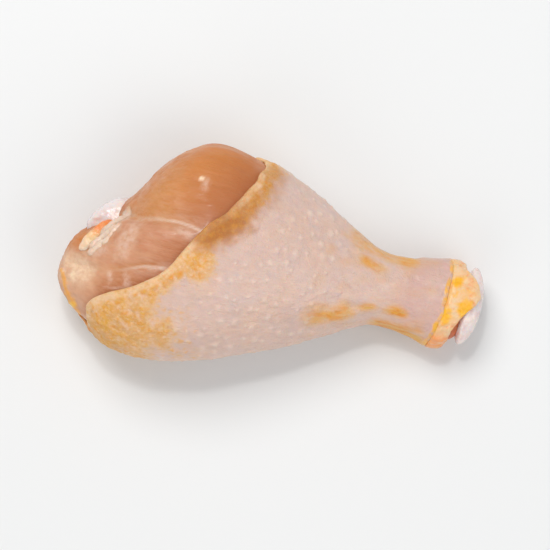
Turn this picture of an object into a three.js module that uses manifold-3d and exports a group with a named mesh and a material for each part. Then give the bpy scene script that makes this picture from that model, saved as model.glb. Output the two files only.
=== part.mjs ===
// A raw chicken drumstick lying on its side. A sleeve of skin is drawn over the leg meat and leaves the
// thick end of the meat bare. The shin bone runs through the meat and shows its white cartilage at the knee
// and at the hock, and a strip of fat lies on the meat beside the knee.
// Millimetres. +X runs from the thick end to the hock, +Z is up, and the drumstick rests on Z = 0.
import * as THREE from "three";
import { mergeVertices } from "three/addons/utils/BufferGeometryUtils.js";
import Module from "manifold-3d";

const wasm = await Module();
wasm.setup();

// Driving dimensions
const SKIN_THICKNESS = 1.9;
const GAP = 0.4; // kept between one piece and the next
const MUSCLE_CROWN = 2.4; // how far a bare muscle swells between its seams
const CROWN_REST = 0.72; // the share of that swell at which a muscle is level with the smooth leg
const BARE_FADE = 8; // length past the skin's edge over which the bare muscles start to swell
const TIP_FADE = 5; // length at the thick end over which the swell starts
const SKIN_STRAIGHTEN = 1.1; // how soon along the leg the skin's columns even out

// Where the skin stops at the hock, how far that end leans over, and towards which angle round the leg.
const SKIN_END = { x: 114.1, slant: 1.5, towards: 60 };

// The meat's outline at stations along the leg: x, its lowest and highest y, its lowest and highest z.
const STATIONS = [
  [0, -18, -18, 16, 16],
  [0.7, -20.8, -12.2, 12.6, 19.8],
  [2.6, -23.2, -6.2, 9.4, 23.2],
  [7, -27, -1.8, 5.6, 27.6],
  [12, -30.4, 2.6, 3, 31.2],
  [19, -33.8, 12.2, 1.4, 34.4],
  [26, -35.2, 23, 0.8, 36.4],
  [35, -34.8, 29.6, 0.6, 37.6],
  [45, -32.5, 30.2, 0.6, 37.2],
  [57, -27.8, 27, 1, 34.8],
  [70, -21.8, 21, 1.9, 30.2],
  [83, -15, 14.4, 3.6, 25],
  [94, -9.4, 9.8, 4.8, 21.2],
  [103, -8.9, 9.4, 4.2, 19.8],
  [110, -10, 11.2, 2.8, 19.2],
  [115, -11.1, 12.2, 2.1, 19],
  [118.5, -10.2, 12.2, 2.6, 18.6],
  [121, -8.8, 11.4, 3.7, 17.8],
  [122.3, -6, 9, 6, 15.6],
  [122.7, 1.5, 1.5, 10.8, 10.8],
];

// The skin's free edge round the leg, from the flap's tip: the angle from +Y towards +Z, in degrees, and x.
const SKIN_EDGE = [
  [180, 13.2],
  [192, 9.8],
  [206, 5.8],
  [222, 3.2],
  [242, 2.4],
  [266, 4],
  [290, 11],
  [310, 22],
  [328, 36],
  [345, 48],
  [360, 54.6],
  [386, 54.6],
  [410, 50.4],
  [426, 46.8],
  [435, 42.8],
  [445, 39],
  [456, 35],
  [462, 32.8],
  [466.6, 30.2],
  [470.2, 26.4],
  [472.6, 21.8],
  [475.6, 17.6],
  [483, 14.6],
  [494, 13.2],
  [508, 13],
  [524, 13.8],
  [540, 13.2],
];
const EDGE_SCALE = 0.42; // millimetres of edge to a degree, to space the skin's columns evenly

// The seams between the muscles: the angle of each at a few distances along the leg.
const SEAMS = [
  [[0, -10], [13, 24], [22, 60], [33, 75], [60, 92]],
  [[0, 88], [16, 94], [30, 100], [60, 112]],
  [[0, 222], [60, 216]],
  [[0, 268], [60, 262]],
  [[0, 318], [20, 330], [60, 338]],
];

// The bone's middle line from the knee to the hock, then its half width and half height at shares of it.
const BONE_LINE = [
  [8.5, 4.8, 17.2],
  [13.8, 0.2, 17.2],
  [23, -3.4, 17.6],
  [45, -3, 17.4],
  [80, 0, 13.8],
  [108, 1.4, 11],
  [120, 1.6, 10.8],
  [128, 1.6, 10.8],
];
const BONE_STATIONS = [
  [0, 0.4, 0.3],
  [0.006, 4.4, 3.4],
  [0.022, 7.4, 5.2],
  [0.05, 8, 5.7],
  [0.085, 6.8, 5.2],
  [0.14, 4.6, 4.2],
  [0.3, 3.7, 3.5],
  [0.7, 3.8, 3.4],
  [0.86, 5.2, 4.4],
  [0.93, 6.4, 5],
  [0.943, 7.4, 5.5],
  [0.949, 9.9, 7.1],
  [0.957, 11.3, 8.1],
  [0.967, 11, 7.9],
  [0.977, 10.1, 7.3],
  [0.986, 8.6, 6.4],
  [0.994, 6.2, 4.6],
  [1, 0.4, 0.3],
];
// How far the ends of the bone swell into two knobs, and the knee into ridges, as shares of their size.
// The swell fades over a share of the bone's length.
const BONE_LOBES = { knobs: 0.09, ridges: 0.054, fade: 0.1 };

// The ring of fat and tendon between the skin's end at the hock and the cartilage. A tongue of it runs on
// over the top of the cartilage and is thinner there.
const CUFF = { from: 115.5, to: 119.4, thickness: 2.1 };
const TONGUE = { length: 6, thinner: 0.8, at: 75, width: 32 };

// The surface under that ring: x, its lowest and highest y, its lowest and highest z.
const CUFF_STATIONS = [
  [110, -10, 11.2, 2.8, 19.2],
  [115, -11.1, 12.2, 2.1, 19],
  [118.5, -10.3, 12.4, 2.5, 18.7],
  [121, -10.5, 13.3, 2.6, 18.5],
  [124, -10.9, 14.1, 2.6, 18.4],
  [126, -10.9, 14.1, 2.6, 17.4],
  [128, -10.9, 14.1, 2.6, 15.6],
];

// The strip of fat beside the knee: its two ends, its width and thickness, and its lift off the meat.
const FAT = {
  fromX: 12.4,
  toX: 6.2,
  fromAngle: 29,
  toAngle: 67,
  halfWidth: 1.9,
  halfThickness: 1,
  lift: 0.48,
};

const rad = THREE.MathUtils.degToRad;
const mix = THREE.MathUtils.lerp;
const smooth = (v) => THREE.MathUtils.smoothstep(v, 0, 1);

// The two outlines as curves of the same parameter, so that a section is read from both at once.
const curveOf = (rows) =>
  new THREE.CatmullRomCurve3(rows.map((r) => new THREE.Vector3(...r)), false, "catmullrom");
const outlineOf = (rows) => ({
  plan: curveOf(rows.map(([x, y0, y1]) => [x, y0, y1])),
  side: curveOf(rows.map(([x, , , z0, z1]) => [x, z0, z1])),
});
const leg = outlineOf(STATIONS);
const hock = outlineOf(CUFF_STATIONS);

// An outline's parameter at a distance x along the leg.
function stationAt(x, outline = leg) {
  let low = 0;
  let high = 1;
  for (let step = 0; step < 30; step++) {
    const middle = (low + high) / 2;
    if (outline.plan.getPoint(middle).x < x) low = middle;
    else high = middle;
  }
  return (low + high) / 2;
}

// A point of an outline's smooth envelope: s is its parameter, and angle goes from +Y towards +Z.
function envelope(s, angle, outline = leg) {
  const wide = outline.plan.getPoint(s);
  const tall = outline.side.getPoint(s);
  return new THREE.Vector3(
    wide.x,
    mix(wide.y, wide.z, (1 + Math.cos(angle)) / 2),
    mix(tall.y, tall.z, (1 + Math.sin(angle)) / 2),
  );
}

function envelopeNormal(s, angle, outline = leg) {
  const step = 1e-3;
  const after = envelope(Math.min(s + step, 1), angle, outline);
  const along = after.sub(envelope(Math.max(s - step, 0), angle, outline));
  const round = envelope(s, angle + step, outline).sub(envelope(s, angle - step, outline));
  return round.cross(along).normalize();
}

// A point over the envelope, kept above a floor height.
function over(s, angle, height, floor, outline = leg) {
  const point = envelope(s, angle, outline).addScaledVector(envelopeNormal(s, angle, outline), height);
  point.z = Math.max(point.z, floor);
  return point;
}

// How far an end at the hock leans over at an angle.
const slantAt = (angle) => SKIN_END.slant * Math.cos(angle - rad(SKIN_END.towards));

// The skin's edge as a curve, and its x at a given angle.
const edgeCurve = new THREE.CatmullRomCurve3(
  SKIN_EDGE.map(([degrees, x]) => new THREE.Vector3(degrees * EDGE_SCALE, x, 0)),
  false,
  "catmullrom",
);
const edgePoints = edgeCurve.getSpacedPoints(720);
const edgeStart = SKIN_EDGE[0][0];
const wrap = THREE.MathUtils.euclideanModulo;

// How far a place on the meat lies past the skin's edge, measured on the map in which that edge is drawn.
// It is 0 under the skin.
function pastEdge(x, angle) {
  const degrees = edgeStart + wrap(THREE.MathUtils.radToDeg(angle) - edgeStart, 360);
  const place = new THREE.Vector3(degrees * EDGE_SCALE, x, 0);
  const next = edgePoints.findIndex((point) => point.x >= place.x);
  if (edgePoints[Math.max(next, 0)].y <= x) return 0;
  return Math.min(...edgePoints.map((point) => point.distanceTo(place)));
}

// Where a skin column (t, round the leg) is at row w, from the free edge (0) to the end at the hock (1).
function skinPlace(t, w) {
  const turned = wrap(t, 1);
  const edge = edgeCurve.getPointAt(turned);
  const angle = mix(rad(edge.x / EDGE_SCALE), rad(edgeStart + 360 * turned), smooth(w * SKIN_STRAIGHTEN));
  return { s: mix(stationAt(edge.y), stationAt(SKIN_END.x + slantAt(angle)), w), angle };
}

// The skin's rounded end at row w: bend goes from the outer face (0) over the rim to the inner face (pi).
function skinRim(t, w, bend) {
  const { s, angle } = skinPlace(t, w);
  const middle = GAP + SKIN_THICKNESS / 2;
  const normal = envelopeNormal(s, angle);
  const step = 0.002;
  const before = skinPlace(t - step, w);
  const after = skinPlace(t + step, w);
  const tangent = envelope(after.s, after.angle).sub(envelope(before.s, before.angle));
  const outward = normal.clone().cross(tangent).normalize();
  if (w < 0.5) outward.negate();
  const point = envelope(s, angle)
    .addScaledVector(normal, middle + (SKIN_THICKNESS / 2) * Math.cos(bend))
    .addScaledVector(outward, (SKIN_THICKNESS / 2) * Math.sin(bend));
  point.z = Math.max(point.z, (SKIN_THICKNESS / 2) * (1 - Math.cos(bend)));
  return point;
}

// A closed surface from rings of points: each ring is joined to the next, and the ends run to a pole or,
// on a ring-shaped body, to each other.
function surfaceOf(rings, joinEnds) {
  const columns = rings[0].length;
  const positions = rings.flat().flatMap((p) => [p.x, p.y, p.z]);
  const index = [];
  const last = joinEnds ? rings.length : rings.length - 1;
  for (let i = 0; i < last; i++)
    for (let j = 0; j < columns; j++) {
      const a = i * columns + j;
      const b = i * columns + ((j + 1) % columns);
      const c = ((i + 1) % rings.length) * columns + j;
      const d = ((i + 1) % rings.length) * columns + ((j + 1) % columns);
      index.push(a, b, d, a, d, c);
    }
  const geometry = new THREE.BufferGeometry();
  geometry.setAttribute("position", new THREE.Float32BufferAttribute(positions, 3));
  geometry.setIndex(index);
  return closed(mergeVertices(geometry, 1e-3));
}

// Drops the faces that a pole has closed up.
function closed(geometry) {
  const old = geometry.getIndex().array;
  const kept = [];
  for (let i = 0; i < old.length; i += 3) {
    const [a, b, c] = [old[i], old[i + 1], old[i + 2]];
    if (a !== b && b !== c && c !== a) kept.push(a, b, c);
  }
  geometry.setIndex(kept);
  return geometry;
}

const solidOf = (geometry) =>
  new wasm.Manifold(
    new wasm.Mesh({
      numProp: 3,
      vertProperties: geometry.getAttribute("position").array,
      triVerts: new Uint32Array(geometry.getIndex().array),
    }),
  );

function geometryOf(solid) {
  const mesh = solid.getMesh();
  const geometry = new THREE.BufferGeometry();
  geometry.setAttribute("position", new THREE.BufferAttribute(mesh.vertProperties, 3));
  geometry.setIndex(new THREE.BufferAttribute(mesh.triVerts, 1));
  return geometry;
}

function skinGeometry() {
  const columns = 52;
  const rows = 20;
  const rimRows = 3;
  const ringOf = (place) => Array.from({ length: columns }, (_, j) => place(j / columns));
  const rings = [];
  const face = (height, floor, from, to) => {
    for (let i = 0; i <= rows; i++)
      rings.push(
        ringOf((t) => {
          const { s, angle } = skinPlace(t, mix(from, to, i / rows));
          return over(s, angle, height, floor);
        }),
      );
  };
  const rim = (w, from, to) => {
    for (let i = 1; i < rimRows; i++) rings.push(ringOf((t) => skinRim(t, w, mix(from, to, i / rimRows))));
  };
  face(GAP + SKIN_THICKNESS, 0, 0, 1);
  rim(1, 0, Math.PI);
  face(GAP, SKIN_THICKNESS, 1, 0);
  rim(0, Math.PI, 0);
  return surfaceOf(rings, true);
}

// A value read from rows of [place, value], with straight lines between them.
function readOff(rows, at) {
  const after = rows.findIndex((row) => row[0] > at);
  if (after < 0) return rows.at(-1)[1];
  if (after === 0) return rows[0][1];
  const [from, to] = [rows[after - 1], rows[after]];
  return mix(from[1], to[1], (at - from[0]) / (to[0] - from[0]));
}

// How far the bare meat stands proud of the envelope, or sinks into it at a seam between two muscles.
function muscleRelief(x, angle) {
  const bare = smooth(pastEdge(x, angle) / BARE_FADE);
  const degrees = THREE.MathUtils.radToDeg(angle);
  const seams = SEAMS.map((seam) => readOff(seam, x));
  const first = seams[0];
  const turned = first + wrap(degrees - first, 360);
  const next = seams.findIndex((seam) => seam > turned);
  const from = next < 0 ? seams.at(-1) : seams[next - 1];
  const to = next < 0 ? first + 360 : seams[next];
  const crown = 1 - Math.abs((2 * (turned - from)) / (to - from) - 1) ** 3;
  return bare * MUSCLE_CROWN * (crown - CROWN_REST) * smooth(x / TIP_FADE);
}

function meatGeometry(cutters) {
  const columns = 52;
  const rows = 33;
  const rings = [];
  for (let i = 0; i <= rows; i++) {
    const s = i / rows;
    const ring = [];
    for (let j = 0; j < columns; j++) {
      const angle = (2 * Math.PI * j) / columns;
      const smoothPoint = envelope(s, angle);
      const pole = i === 0 || i === rows;
      const relief = muscleRelief(smoothPoint.x, angle);
      ring.push(pole ? smoothPoint : over(s, angle, relief, SKIN_THICKNESS + GAP));
    }
    rings.push(ring);
  }
  let meat = solidOf(surfaceOf(rings, false));
  for (const cutter of cutters) meat = meat.subtract(solidOf(cutter));
  return geometryOf(meat);
}

// The shin bone, grown by a clearance where the meat's channel is made from it.
function boneGeometry(grown) {
  const columns = 20;
  const rows = 30;
  const line = curveOf(BONE_LINE);
  const sizes = curveOf(BONE_STATIONS);
  const rings = [];
  for (let i = 0; i <= rows; i++) {
    const size = sizes.getPoint(i / rows);
    const share = THREE.MathUtils.clamp(size.x, 0, 1);
    const axis = line.getTangentAt(share);
    const across = new THREE.Vector3(0, 0, 1).cross(axis).normalize();
    const up = axis.clone().cross(across);
    const end = i === 0 || i === rows;
    const centre = line.getPointAt(share).addScaledVector(axis, i === 0 ? -grown : i === rows ? grown : 0);
    const lobed = 1 - smooth(Math.min(share, 1 - share) / BONE_LOBES.fade);
    const ridges = share < 0.5 ? BONE_LOBES.ridges : 0;
    const ring = [];
    for (let j = 0; j < columns; j++) {
      const angle = (2 * Math.PI * j) / columns;
      const swell = 1 + lobed * (BONE_LOBES.knobs * Math.cos(2 * angle) + ridges * Math.cos(5 * angle));
      const wide = end ? 0 : size.y * swell + grown;
      const tall = end ? 0 : size.z * swell + grown;
      const sideways = centre.clone().addScaledVector(across, wide * Math.cos(angle));
      ring.push(sideways.addScaledVector(up, tall * Math.sin(angle)));
    }
    rings.push(ring);
  }
  return surfaceOf(rings, false);
}

// The ring between the skin and the cartilage at the hock.
function cuffGeometry() {
  const columns = 36;
  const turns = 10;
  const rings = [];
  for (let i = 0; i < turns; i++) {
    const bend = (2 * Math.PI * i) / turns;
    const along = (1 + Math.sign(Math.cos(bend)) * Math.abs(Math.cos(bend)) ** 0.8) / 2;
    const ring = [];
    for (let j = 0; j < columns; j++) {
      const angle = (2 * Math.PI * j) / columns;
      const off = wrap(angle - rad(TONGUE.at) + Math.PI, 2 * Math.PI) - Math.PI;
      const tongue = Math.exp(-((off / rad(TONGUE.width)) ** 2));
      const end = CUFF.to + slantAt(angle) / 2 + TONGUE.length * tongue;
      const x = mix(CUFF.from + slantAt(angle), end, along);
      const thickness = CUFF.thickness - TONGUE.thinner * tongue * along;
      const height = GAP + (thickness * (1 - Math.sin(bend))) / 2;
      ring.push(over(stationAt(x, hock), angle, height, 0, hock));
    }
    rings.push(ring);
  }
  return surfaceOf(rings, true);
}

// A flat strip with round ends that follows the meat's surface.
function fatGeometry() {
  const columns = 10;
  const rows = 12;
  const step = 0.02;
  const place = (v) => [stationAt(mix(FAT.fromX, FAT.toX, v)), rad(mix(FAT.fromAngle, FAT.toAngle, v))];
  const rings = [];
  for (let i = 0; i <= rows; i++) {
    const v = i / rows;
    const at = envelope(...place(v));
    const normal = envelopeNormal(...place(v));
    const tangent = envelope(...place(v + step)).sub(at).normalize();
    const across = tangent.clone().cross(normal).normalize();
    const end = Math.sqrt(Math.max(0, 1 - (2 * v - 1) ** 4));
    const centre = at.clone().addScaledVector(normal, FAT.lift + GAP + FAT.halfThickness);
    const ring = [];
    for (let j = 0; j < columns; j++) {
      const bend = (-2 * Math.PI * j) / columns;
      ring.push(
        centre
          .clone()
          .addScaledVector(across, FAT.halfWidth * end * Math.cos(bend))
          .addScaledVector(normal, FAT.halfThickness * end * Math.sin(bend)),
      );
    }
    rings.push(ring);
  }
  return surfaceOf(rings, false);
}

function piece(name, geometry, color, roughness) {
  geometry.computeVertexNormals();
  const mesh = new THREE.Mesh(geometry, new THREE.MeshStandardMaterial({ color, roughness, metalness: 0 }));
  mesh.name = name;
  return mesh;
}

const drumstick = new THREE.Group();
drumstick.name = "drumstick";
drumstick.add(
  piece("skin", skinGeometry(), 0xd9bba6, 0.45),
  piece("meat", meatGeometry([boneGeometry(GAP)]), 0xd29a76, 0.35),
  piece("shin_bone", boneGeometry(0), 0xe6d4ca, 0.3),
  piece("hock_cuff", cuffGeometry(), 0xf0bf8a, 0.4),
  piece("knee_fat", fatGeometry(), 0xf0c490, 0.4),
);

// The origin is moved to the middle of the box that the drumstick stands in, on the table.
const box = new THREE.Box3().setFromObject(drumstick);
const middle = box.getCenter(new THREE.Vector3());
drumstick.position.set(-middle.x, -middle.y, -box.min.z);

export default drumstick;
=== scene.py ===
# A raw chicken drumstick on its side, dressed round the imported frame.
import math
import random
import bpy
import bmesh
import numpy as np
from mathutils import Matrix, Vector, kdtree, noise


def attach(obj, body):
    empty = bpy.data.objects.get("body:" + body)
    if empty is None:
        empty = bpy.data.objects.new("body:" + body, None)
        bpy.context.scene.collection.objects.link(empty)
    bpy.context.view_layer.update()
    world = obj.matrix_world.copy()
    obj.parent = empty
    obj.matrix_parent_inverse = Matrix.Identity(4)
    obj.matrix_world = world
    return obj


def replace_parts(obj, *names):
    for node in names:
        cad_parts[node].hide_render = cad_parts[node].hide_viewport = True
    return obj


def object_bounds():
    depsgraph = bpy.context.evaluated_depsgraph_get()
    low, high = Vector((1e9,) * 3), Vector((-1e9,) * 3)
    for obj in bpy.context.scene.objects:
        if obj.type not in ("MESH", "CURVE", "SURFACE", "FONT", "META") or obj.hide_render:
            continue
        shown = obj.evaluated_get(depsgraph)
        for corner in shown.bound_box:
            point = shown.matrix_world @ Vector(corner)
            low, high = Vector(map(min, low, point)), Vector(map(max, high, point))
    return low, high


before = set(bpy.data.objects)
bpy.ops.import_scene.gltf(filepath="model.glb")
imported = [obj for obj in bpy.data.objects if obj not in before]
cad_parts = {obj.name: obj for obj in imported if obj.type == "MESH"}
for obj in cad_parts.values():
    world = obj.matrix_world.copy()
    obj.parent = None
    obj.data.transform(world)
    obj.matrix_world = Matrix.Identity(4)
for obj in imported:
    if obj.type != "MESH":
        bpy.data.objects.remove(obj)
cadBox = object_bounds()
bpy.context.scene.view_settings.view_transform = "Standard"

# The leg's form, in millimetres
leg = {
    # x along the leg, then the meat's lowest and highest y and its lowest and highest z there
    "stations": [
        (0, -18, -18, 16, 16),
        (0.7, -20.8, -12.2, 12.6, 19.8),
        (2.6, -23.2, -6.2, 9.4, 23.2),
        (7, -27, -1.8, 5.6, 27.6),
        (12, -30.4, 2.6, 3, 31.2),
        (19, -33.8, 12.2, 1.4, 34.4),
        (26, -35.2, 23, 0.8, 36.4),
        (35, -34.8, 29.6, 0.6, 37.6),
        (45, -32.5, 30.2, 0.6, 37.2),
        (57, -27.8, 27, 1, 34.8),
        (70, -21.8, 21, 1.9, 30.2),
        (83, -15, 14.4, 3.6, 25),
        (94, -9.4, 9.8, 4.8, 21.2),
        (103, -8.9, 9.4, 4.2, 19.8),
        (110, -10, 11.2, 2.8, 19.2),
        (115, -11.1, 12.2, 2.1, 19),
        (118.5, -10.2, 12.2, 2.6, 18.6),
        (121, -8.8, 11.4, 3.7, 17.8),
        (122.3, -6, 9, 6, 15.6),
        (122.7, 1.5, 1.5, 10.8, 10.8),
    ],
    "gap": 0.4,  # between the meat and the skin
}
mm = 0.001


def curveAt(rows, share):
    # a smooth curve through the rows, read at shares of it from 0 to 1
    rows = np.asarray(rows, float)
    ends = np.vstack([2 * rows[0] - rows[1], rows, 2 * rows[-1] - rows[-2]])
    place = np.clip(np.asarray(share, float), 0, 1) * (len(rows) - 1)
    first = np.minimum(place.astype(int), len(rows) - 2)
    t = (place - first)[:, None]
    a, b, c, d = (ends[first + k] for k in range(4))
    return b + 0.5 * t * (c - a + t * (2 * a - 5 * b + 4 * c - d + t * (3 * (b - c) + d - a)))


def ramp(low, high, value):
    # 0 at low and 1 at high, smooth between them; low may be the larger
    t = np.clip((value - low) / (high - low), 0, 1)
    return t * t * (3 - 2 * t)


def hump(value, middle, width):
    return np.exp(-(((value - middle) / width) ** 2))


def shareAt(x, rows=leg["stations"]):
    fine = np.linspace(0, 1, 3000)
    return np.interp(x, curveAt(rows, fine)[:, 0], fine)


def legPoint(share, angle, rows=leg["stations"]):
    # a point of the smooth form that the rows give; the angle goes from +Y towards +Z
    x, y0, y1, z0, z1 = curveAt(rows, share).T
    y = y0 + (y1 - y0) * (1 + np.cos(angle)) / 2
    z = z0 + (z1 - z0) * (1 + np.sin(angle)) / 2
    return np.stack([x, y, z], axis=1)


def unit(vectors):
    return vectors / np.maximum(np.linalg.norm(vectors, axis=1), 1e-9)[:, None]


def legNormal(share, angle, rows=leg["stations"]):
    step = 1e-3
    ahead = legPoint(np.minimum(share + step, 1), angle, rows)
    along = ahead - legPoint(np.maximum(share - step, 0), angle, rows)
    across = legPoint(share, angle + step, rows) - legPoint(share, angle - step, rows)
    return unit(np.cross(across, along))


def turnedFrom(angle, degrees):
    # how far an angle is from one given in degrees, from -180 to 180
    return np.mod(np.degrees(angle) - degrees + 180, 360) - 180


def wave(points, size, seed):
    # smooth noise from -1 to 1 with lumps of about that size
    offset = Vector((seed * 17.3, seed * 5.1, seed * 9.7))
    return np.array([noise.noise(Vector(p) / size + offset) for p in points])


def nearest(spots, points):
    # how far each point is from the nearest spot, and which spot that is
    tree = kdtree.KDTree(len(spots))
    for i, p in enumerate(spots):
        tree.insert(p, i)
    tree.balance()
    found = [tree.find(p) for p in points]
    return np.array([f[2] for f in found]), np.array([f[1] for f in found])


def places(bm):
    # the vertices of a fresh shape
    return np.array([v.co[:] for v in bm.verts])


legPlace = np.array([cadBox[0].x / mm, 0.0, 0.0])  # its y follows from the skin's own width


def finishPiece(name, bm, points, values, material):
    # moves the shape's vertices to the points and makes the piece, with the values as attributes
    layers = {key: bm.verts.layers.float.new(key) for key in values}
    for i, v in enumerate(bm.verts):
        v.co = (points[i] + legPlace) * mm
        for key, layer in layers.items():
            v[layer] = values[key][i]
    bmesh.ops.remove_doubles(bm, verts=bm.verts, dist=2e-6)
    bmesh.ops.recalc_face_normals(bm, faces=bm.faces)
    for face in bm.faces:
        face.smooth = True
    mesh = bpy.data.meshes.new(name)
    bm.to_mesh(mesh)
    bm.free()
    piece = bpy.data.objects.new(name, mesh)
    bpy.context.scene.collection.objects.link(piece)
    mesh.materials.append(material)
    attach(piece, "root")
    print(name, len(mesh.polygons), "faces")
    return piece


# Shader effects that several materials share
def newGroup(name, inputs, output):
    group = bpy.data.node_groups.new(name, "ShaderNodeTree")
    group.interface.new_socket(name="Vector", in_out="INPUT", socket_type="NodeSocketVector")
    for label, value in inputs.items():
        socket = group.interface.new_socket(name=label, in_out="INPUT", socket_type="NodeSocketFloat")
        socket.default_value = value
    group.interface.new_socket(name=output, in_out="OUTPUT", socket_type="NodeSocketFloat")
    return group, group.nodes.new("NodeGroupInput"), group.nodes.new("NodeGroupOutput")


def addNode(tree, kind, links=(), **settings):
    # a node with its settings; links are pairs of an input and the value or socket that goes there
    node = tree.nodes.new(kind)
    for key, value in settings.items():
        setattr(node, key, value)
    for key, value in links:
        if isinstance(value, bpy.types.NodeSocket):
            tree.links.new(value, node.inputs[key])
        else:
            node.inputs[key].default_value = value
    return node


def sums(tree, operation, a, b=0.0, c=0.0):
    return addNode(tree, "ShaderNodeMath", ((0, a), (1, b), (2, c)), operation=operation).outputs[0]


def smoothStep(tree, value, low, high):
    links = (("Value", value), ("From Min", low), ("From Max", high))
    return addNode(tree, "ShaderNodeMapRange", links, interpolation_type="SMOOTHSTEP").outputs["Result"]


def makeBlotches():
    # soft-edged patches: their size in metres, how much they cover, how soft their edges are
    group, into, out = newGroup("blotches", {"Size": 0.005, "Cover": 0.5, "Edge": 0.1, "Seed": 0.0}, "Mask")
    scale = sums(group, "DIVIDE", 1.0, into.outputs["Size"])
    links = (("Vector", into.outputs["Vector"]), ("Scale", scale), ("W", into.outputs["Seed"]),
             ("Detail", 3.0), ("Roughness", 0.6))
    field = addNode(group, "ShaderNodeTexNoise", links, noise_dimensions="4D").outputs["Fac"]
    middle = sums(group, "MULTIPLY_ADD", into.outputs["Cover"], -0.5, 0.75)
    low = sums(group, "SUBTRACT", middle, into.outputs["Edge"])
    high = sums(group, "ADD", middle, into.outputs["Edge"])
    group.links.new(smoothStep(group, field, low, high), out.inputs["Mask"])
    return group


def makeCells():
    # rounded cells with soft borders between them, their size in metres
    group, into, out = newGroup("cells", {"Size": 0.002, "Border": 0.12, "Wander": 0.35}, "Mask")
    scale = sums(group, "DIVIDE", 1.0, into.outputs["Size"])
    bend = addNode(group, "ShaderNodeTexNoise", (("Vector", into.outputs["Vector"]), ("Scale", scale)))
    reach = sums(group, "MULTIPLY", into.outputs["Size"], into.outputs["Wander"])
    links = ((0, bend.outputs["Color"]), (3, reach))
    moved = addNode(group, "ShaderNodeVectorMath", links, operation="SCALE")
    place = addNode(group, "ShaderNodeVectorMath",
                    ((0, into.outputs["Vector"]), (1, moved.outputs[0])), operation="ADD")
    links = (("Vector", place.outputs[0]), ("Scale", scale))
    walls = addNode(group, "ShaderNodeTexVoronoi", links, feature="DISTANCE_TO_EDGE").outputs["Distance"]
    group.links.new(smoothStep(group, walls, 0.0, into.outputs["Border"]), out.inputs["Mask"])
    return group


def makeMoistHeight():
    # the height, in metres, of fine uneven wet tissue
    group, into, out = newGroup("moistHeight", {"Grain": 0.0006, "Depth": 0.00004}, "Height")
    scale = sums(group, "DIVIDE", 1.0, into.outputs["Grain"])
    links = (("Vector", into.outputs["Vector"]), ("Scale", scale), ("Detail", 4.0))
    fine = addNode(group, "ShaderNodeTexNoise", links).outputs["Fac"]
    group.links.new(sums(group, "MULTIPLY", fine, into.outputs["Depth"]), out.inputs["Height"])
    return group


blotches = makeBlotches()
cells = makeCells()
moistHeight = makeMoistHeight()


class Paint:
    # a material in the making: colours are laid over one another through masks; look is the piece's own
    # dictionary, which holds them by name
    def __init__(self, name, look, base, settings):
        self.look = look
        self.material = bpy.data.materials.new(name)
        self.material.use_nodes = True
        self.tree = self.material.node_tree
        self.tree.nodes.clear()
        self.shader = addNode(self.tree, "ShaderNodeBsdfPrincipled", tuple(settings.items()))
        addNode(self.tree, "ShaderNodeOutputMaterial", (("Surface", self.shader.outputs[0]),))
        self.place = addNode(self.tree, "ShaderNodeTexCoord").outputs["Object"]
        self.colour = (*look[base], 1)

    def value(self, name):
        return addNode(self.tree, "ShaderNodeAttribute", attribute_name=name).outputs["Fac"]

    def stretched(self, times, degrees=0):
        # the place, drawn out that many times along a direction on the table
        turn = (0, 0, math.radians(degrees))
        links = (("Vector", self.place), ("Scale", (times, 1, 1)), ("Rotation", turn))
        return addNode(self.tree, "ShaderNodeMapping", links, vector_type="TEXTURE").outputs[0]

    def step(self, value, low, high):
        return smoothStep(self.tree, value, low, high)

    def patches(self, size, cover, edge, seed, place=None):
        links = (("Vector", place or self.place), ("Size", size), ("Cover", cover), ("Edge", edge),
                 ("Seed", seed))
        return addNode(self.tree, "ShaderNodeGroup", links, node_tree=blotches).outputs["Mask"]

    def lobules(self, size, border):
        links = (("Vector", self.place), ("Size", size), ("Border", border))
        return addNode(self.tree, "ShaderNodeGroup", links, node_tree=cells).outputs["Mask"]

    def times(self, first, *others):
        for other in others:
            first = sums(self.tree, "MULTIPLY", first, other)
        return first

    def lay(self, colour, mask, strength=1.0):
        mask = self.times(mask, strength) if strength < 1 else mask
        node = addNode(self.tree, "ShaderNodeMix", (("Factor", mask),), data_type="RGBA")
        colourIn = [s for s in node.inputs if s.type == "RGBA"]
        if isinstance(self.colour, tuple):
            colourIn[0].default_value = self.colour
        else:
            self.tree.links.new(self.colour, colourIn[0])
        colourIn[1].default_value = (*self.look[colour], 1)
        self.colour = [s for s in node.outputs if s.type == "RGBA"][0]

    def dapple(self, colour, patch, strength, *masks, place=None):
        # lays a colour in patches where the masks allow it; patch is their size, cover, edge and seed
        self.lay(colour, self.times(self.patches(*patch, place), *masks), strength)

    def finish(self, grain, depth, relief, gloss, dull=None):
        # relief holds pairs of a mask and its height in metres; gloss, the lowest and highest roughness;
        # dull, a mask of where the surface shines less
        self.tree.links.new(self.colour, self.shader.inputs["Base Color"])
        links = (("Vector", self.place), ("Grain", grain), ("Depth", depth))
        height = addNode(self.tree, "ShaderNodeGroup", links, node_tree=moistHeight).outputs["Height"]
        for mask, rise in relief:
            height = sums(self.tree, "MULTIPLY_ADD", mask, rise, height)
        bump = addNode(self.tree, "ShaderNodeBump", (("Distance", 1.0), ("Height", height)))
        self.tree.links.new(bump.outputs["Normal"], self.shader.inputs["Normal"])
        patch = self.patches(0.004, 0.5, 0.25, 9.0)
        rough = sums(self.tree, "MULTIPLY_ADD", patch, gloss[1] - gloss[0], gloss[0])
        if dull is not None:
            rough = sums(self.tree, "MULTIPLY_ADD", dull, 0.3, rough)
            coat = self.shader.inputs["Coat Weight"]
            coatLeft = sums(self.tree, "MULTIPLY_ADD", dull, -coat.default_value, coat.default_value)
            self.tree.links.new(coatLeft, coat)
        self.tree.links.new(rough, self.shader.inputs["Roughness"])
        return self.material


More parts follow.
